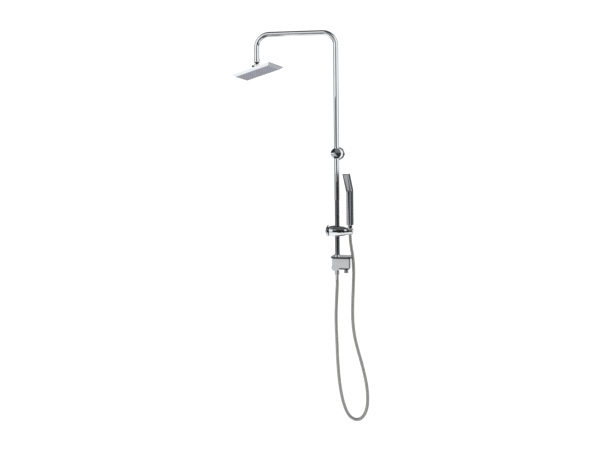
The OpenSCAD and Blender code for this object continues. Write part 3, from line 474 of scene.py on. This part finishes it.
# Upright flags in one plane towards the camera: corners as right and up, and the grey of the cloth.
FLAG_AT = 0.45
FLAGS = [
    ("low_black_flag", [(-0.36, -0.03), (0.2, -0.03), (0.2, 0.2), (-0.36, 0.2)], 0.01),
    ("middle_black_flag", [(-0.34, 0.2), (0.1, 0.2), (0.1, 0.33), (-0.34, 0.33)], 0.04),
    ("slanted_flag", [(-0.12, 0.33), (0.06, 0.33), (0.0, 0.5), (-0.3, 0.5)], 0.04),
    ("pale_flag", [(-0.4, 0.33), (-0.12, 0.33), (-0.28, 0.47), (-0.4, 0.47)], 0.6),
    ("high_grey_flag", [(-0.26, 0.5), (0.06, 0.5), (0.06, 0.72), (-0.26, 0.72)], 0.22),
    ("high_black_flag", [(-0.64, 0.5), (-0.26, 0.5), (-0.26, 0.75), (-0.64, 0.75)], 0.03),
]
for name, corners, level in FLAGS:
    flag(name, [(right, FLAG_AT, up) for right, up in corners], level)

# A narrow blue card square to what the handset's front mirrors, wider at its top.
NAVY = (0.4, 0.55, 1.0)
flag("navy_flag", [(-0.1082, 0.1498, 0.1), (-0.1051, 0.1536, 0.1), (-0.1052, 0.1535, 0.298),
                   (-0.1108, 0.1465, 0.298)], 0.05, NAVY)

world = bpy.data.worlds.new("studio")
bpy.context.scene.world = world
world.use_nodes = True
w = world.node_tree
w.nodes.remove(w.nodes["Background"])
aim = add(w, "ShaderNodeMapping", {"Rotation": (0, 0, -AZIMUTH)},
          Vector=add(w, "ShaderNodeTexCoord").outputs["Generated"])
axes = add(w, "ShaderNodeSeparateXYZ", {}, Vector=aim.outputs["Vector"])
back = add(w, "ShaderNodeMath", {"operation": "MULTIPLY", 1: -1.0}, i0=axes.outputs["Y"])
turn = add(w, "ShaderNodeMath", {"operation": "ARCTAN2"}, i0=axes.outputs["X"], i1=back.outputs[0])
turn01 = add(w, "ShaderNodeMapRange", {"From Min": -math.pi, "From Max": math.pi},
             Value=turn.outputs[0])
rise = add(w, "ShaderNodeMath", {"operation": "ARCSINE"}, i0=axes.outputs["Z"])


def round_horizon(*stops):
    """Greys by compass angle, in degrees from the camera towards the right, and their levels."""
    ramp = add(w, "ShaderNodeValToRGB", {}, Fac=turn01.outputs["Result"])
    elements = ramp.color_ramp.elements
    elements.remove(elements[-1])
    for i, (angle, level) in enumerate(stops):
        position = (angle + 180) / 360
        element = elements.new(position) if i else elements[0]
        element.position = position
        element.color = (level, level, level, 1)
    return ramp.outputs["Color"]


# The studio as the chrome sees it, from the floor up to the ceiling.
floor_ring = round_horizon((-180, 0.8), (-110, 1.05), (40, 1.0), (95, 0.5), (130, 0.5), (180, 0.8))
near_floor = round_horizon((-180, 0.6), (-100, 0.6), (-45, 0.66), (-20, 0.7), (-12, 0.08),
                           (12, 0.05), (30, 0.85), (100, 0.7), (180, 0.6))
below = round_horizon((-180, 0.3), (-100, 0.4), (-85, 0.6), (-20, 0.6), (-6, 0.3), (10, 0.05),
                      (50, 0.06), (70, 0.5), (132, 0.5), (142, 0.9), (166, 0.9), (180, 0.3))
band = round_horizon((-180, 0.2), (-130, 0.25), (-90, 0.4), (-60, 0.42), (-12, 0.4), (2, 0.03),
                     (58, 0.02), (66, 0.13), (100, 0.13), (130, 0.1), (142, 0.85), (166, 0.9),
                     (180, 0.2))
middle = round_horizon((-180, 0.12), (-150, 0.12), (-100, 0.1), (-88, 1.0), (-28, 1.0), (-22, 0.03),
                       (14, 0.03), (20, 1.0), (88, 1.0), (98, 0.14), (132, 0.14), (142, 0.9),
                       (166, 0.9), (180, 0.14))
high = round_horizon((-180, 0.12), (-100, 0.12), (-88, 1.0), (-14, 1.0), (-9, 0.05), (12, 0.05),
                     (18, 1.0), (88, 1.0), (98, 0.16), (132, 0.16), (142, 0.9), (166, 0.9),
                     (180, 0.14))
ceiling = round_horizon((-180, 0.08), (180, 0.08))

# Each layer begins at an elevation in degrees, over a soft edge.
LAYERS = [(-35, 3, near_floor), (-14, 1.5, below), (-7.4, 0.25, band), (-1.0, 0.3, middle),
          (8.8, 0.4, high), (46, 4, ceiling)]
sky = floor_ring
for edge, soft, layer in LAYERS:
    above = add(w, "ShaderNodeMapRange",
                {"interpolation_type": "SMOOTHSTEP", "From Min": math.radians(edge - soft),
                 "From Max": math.radians(edge + soft)}, Value=rise.outputs[0])
    sky = add(w, "ShaderNodeMix", {"data_type": "RGBA"}, i0=above.outputs["Result"], i6=sky,
              i7=layer).outputs[2]
gloss = add(w, "ShaderNodeBackground", {"Strength": 1.27}, Color=sky)
plain = add(w, "ShaderNodeBackground", {"Color": (1, 1, 1, 1), "Strength": 1.16})
light_path = add(w, "ShaderNodeLightPath")
choose = add(w, "ShaderNodeMixShader", {}, i0=light_path.outputs["Is Glossy Ray"],
             i1=plain.outputs[0], i2=gloss.outputs[0])
w.links.new(choose.outputs[0], w.nodes["World Output"].inputs["Surface"])
